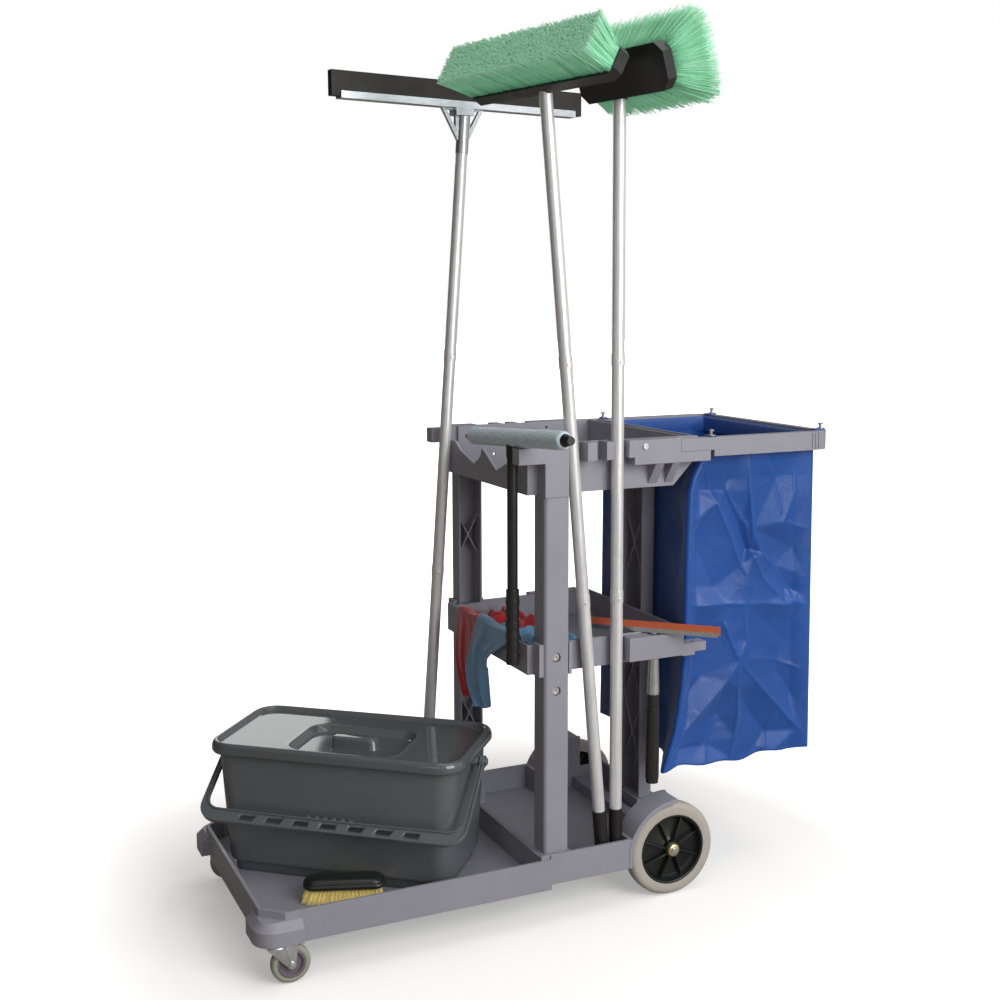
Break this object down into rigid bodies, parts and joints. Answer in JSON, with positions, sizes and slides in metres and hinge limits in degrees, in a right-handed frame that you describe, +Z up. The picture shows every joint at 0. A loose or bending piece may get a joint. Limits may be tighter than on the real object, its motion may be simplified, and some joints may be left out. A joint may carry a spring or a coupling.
{
  "type": "housekeeping cart",
  "caption": "Two-tier janitorial cart with a low front deck, rear wheels, front casters, a hanging waste bag, a lidded bucket and upright cleaning tools.",
  "frame": {"origin": "on the floor under the middle of the bounding box of the stocked cart; the cart itself is symmetric about the plane Y = 0.0893 m", "axes": "+Z up, +X towards the waste bag and push end, -X towards the low deck and casters, -Y is the left-hand side of the person pushing"},
  "size_m": [1.2945, 0.7246, 1.766],
  "materials": {
    "cart_plastic": "moulded grey plastic with a fine grain",
    "zinc_steel": "zinc plated pressed steel",
    "caster_hub": "moulded plastic",
    "caster_tyre": "grey solid rubber tread",
    "axle_cap": "yellow passivated steel",
    "wheel_hub": "black moulded plastic",
    "wheel_tyre": "light grey solid rubber",
    "bag_fabric": "coated woven fabric, royal blue",
    "eyelet": "dull plated eyelet",
    "bucket_plastic": "dark grey moulded plastic",
    "brush_tan": "straw coloured filament field",
    "black_plastic": "black moulded plastic",
    "aluminium_tube": "satin tube",
    "black_rubber": "black rubber",
    "brush_green": "mint green filament field",
    "fleece_sleeve": "light blue woven fleece",
    "orange_rubber": "orange red blade rubber",
    "red_fabric": "red microfibre",
    "blue_fabric": "light blue microfibre"
  },
  "bodies": {
    "cart_frame": {"front_deck": "cart_plastic", "rear_deck": "cart_plastic", "left_upright": "cart_plastic", "right_upright": "cart_plastic", "rear_upright": "cart_plastic", "middle_tray": "cart_plastic", "top_tray": "cart_plastic", "bag_rail": "cart_plastic", "bag_hooks": "cart_plastic", "frame_bolts": "zinc_steel", "tray_screws": "zinc_steel", "caster_plates": "zinc_steel", "rear_axle": "zinc_steel", "axle_caps": "axle_cap"},
    "left_caster_fork": {"left_fork": "zinc_steel", "left_caster_axle": "zinc_steel"},
    "right_caster_fork": {"right_fork": "zinc_steel", "right_caster_axle": "zinc_steel"},
    "left_caster_wheel": {"left_caster_hub": "caster_hub", "left_caster_tyre": "caster_tyre"},
    "right_caster_wheel": {"right_caster_hub": "caster_hub", "right_caster_tyre": "caster_tyre"},
    "left_rear_wheel": {"left_wheel_hub": "wheel_hub", "left_wheel_tyre": "wheel_tyre"},
    "right_rear_wheel": {"right_wheel_hub": "wheel_hub", "right_wheel_tyre": "wheel_tyre"},
    "bag": {"waste_bag": "bag_fabric", "bag_eyelets": "eyelet"},
    "bucket": {"bucket_body": "bucket_plastic"},
    "lid": {"bucket_lid": "bucket_plastic"},
    "bail": {"bucket_bail": "bucket_plastic"},
    "hand_brush": {"hand_brush_block": "black_plastic", "hand_brush_bristles": "brush_tan"},
    "floor_squeegee": {"squeegee_pole_tubes": "aluminium_tube", "squeegee_pole_collars": "aluminium_tube", "squeegee_pole_boot": "black_plastic", "squeegee_head": "zinc_steel", "squeegee_rubber": "black_rubber"},
    "long_brush": {"long_brush_tubes": "aluminium_tube", "long_brush_collars": "aluminium_tube", "long_brush_boot": "black_plastic", "long_brush_block": "black_plastic", "long_brush_bristles": "brush_green"},
    "short_brush": {"short_brush_tubes": "aluminium_tube", "short_brush_collars": "aluminium_tube", "short_brush_boot": "black_plastic", "short_brush_block": "black_plastic", "short_brush_bristles": "brush_green"},
    "window_washer": {"washer_handle": "black_plastic", "washer_bar": "black_plastic", "washer_sleeve": "fleece_sleeve"},
    "window_squeegee": {"window_squeegee_grip": "black_plastic", "window_squeegee_ferrule": "zinc_steel", "window_squeegee_channel": "zinc_steel", "window_squeegee_blade": "orange_rubber"},
    "red_cloth_body": {"red_cloth": "red_fabric"},
    "blue_cloth_body": {"blue_cloth": "blue_fabric"}
  },
  "joints": [
    {"name": "left_caster_swivel", "type": "hinge", "parent": "cart_frame", "child": "left_caster_fork", "pos_m": [-0.58574, -0.15769, 0.078], "axis": [0, 0, 1], "continuous": true},
    {"name": "left_caster_roll", "type": "hinge", "parent": "left_caster_fork", "child": "left_caster_wheel", "pos_m": [-0.55974, -0.15769, 0.0375], "axis": [0, 1, 0], "continuous": true},
    {"name": "left_rear_wheel_roll", "type": "hinge", "parent": "cart_frame", "child": "left_rear_wheel", "pos_m": [0.26886, -0.12869, 0.1], "axis": [0, 1, 0], "continuous": true},
    {"name": "right_caster_swivel", "type": "hinge", "parent": "cart_frame", "child": "right_caster_fork", "pos_m": [-0.58574, 0.33631, 0.078], "axis": [0, 0, 1], "continuous": true},
    {"name": "right_caster_roll", "type": "hinge", "parent": "right_caster_fork", "child": "right_caster_wheel", "pos_m": [-0.55974, 0.33631, 0.0375], "axis": [0, 1, 0], "continuous": true},
    {"name": "right_rear_wheel_roll", "type": "hinge", "parent": "cart_frame", "child": "right_rear_wheel", "pos_m": [0.26886, 0.30731, 0.1], "axis": [0, 1, 0], "continuous": true},
    {"name": "bag_lift", "type": "slide", "parent": "cart_frame", "child": "bag", "axis": [0, 0, 1], "range_m": [0, 0.25]},
    {"name": "bucket_lift", "type": "slide", "parent": "cart_frame", "child": "bucket", "axis": [-0.3, 0, 0.9539], "range_m": [0, 0.3]},
    {"name": "lid_lift", "type": "slide", "parent": "bucket", "child": "lid", "axis": [0, 0, 1], "range_m": [0, 0.11]},
    {"name": "bail_swing", "type": "hinge", "parent": "bucket", "child": "bail", "pos_m": [-0.34374, 0.10431, 0.33], "axis": [-0.766, 0.6428, 0], "range_deg": [0, 127]},
    {"name": "hand_brush_lift", "type": "slide", "parent": "cart_frame", "child": "hand_brush", "axis": [0, -0.5, 0.866], "range_m": [0, 0.2]},
    {"name": "floor_squeegee_lift", "type": "slide", "parent": "cart_frame", "child": "floor_squeegee", "axis": [0.0713, 0, 0.9975], "range_m": [0, 0.3]},
    {"name": "long_brush_lift", "type": "slide", "parent": "cart_frame", "child": "long_brush", "axis": [-0.0882, 0, 0.9961], "range_m": [0, 0.25]},
    {"name": "short_brush_lift", "type": "slide", "parent": "cart_frame", "child": "short_brush", "axis": [-0.0051, 0, 1], "range_m": [0, 0.3]},
    {"name": "window_washer_lift", "type": "slide", "parent": "cart_frame", "child": "window_washer", "axis": [0, 0, 1], "range_m": [0, 0.45]},
    {"name": "window_squeegee_lift", "type": "slide", "parent": "cart_frame", "child": "window_squeegee", "axis": [0, 0, 1], "range_m": [0, 0.27]},
    {"name": "red_cloth_lift", "type": "slide", "parent": "cart_frame", "child": "red_cloth_body", "axis": [0, 0, 1], "range_m": [0, 0.15]},
    {"name": "blue_cloth_lift", "type": "slide", "parent": "red_cloth_body", "child": "blue_cloth_body", "axis": [0, 0, 1], "range_m": [0, 0.12]}
  ]
}
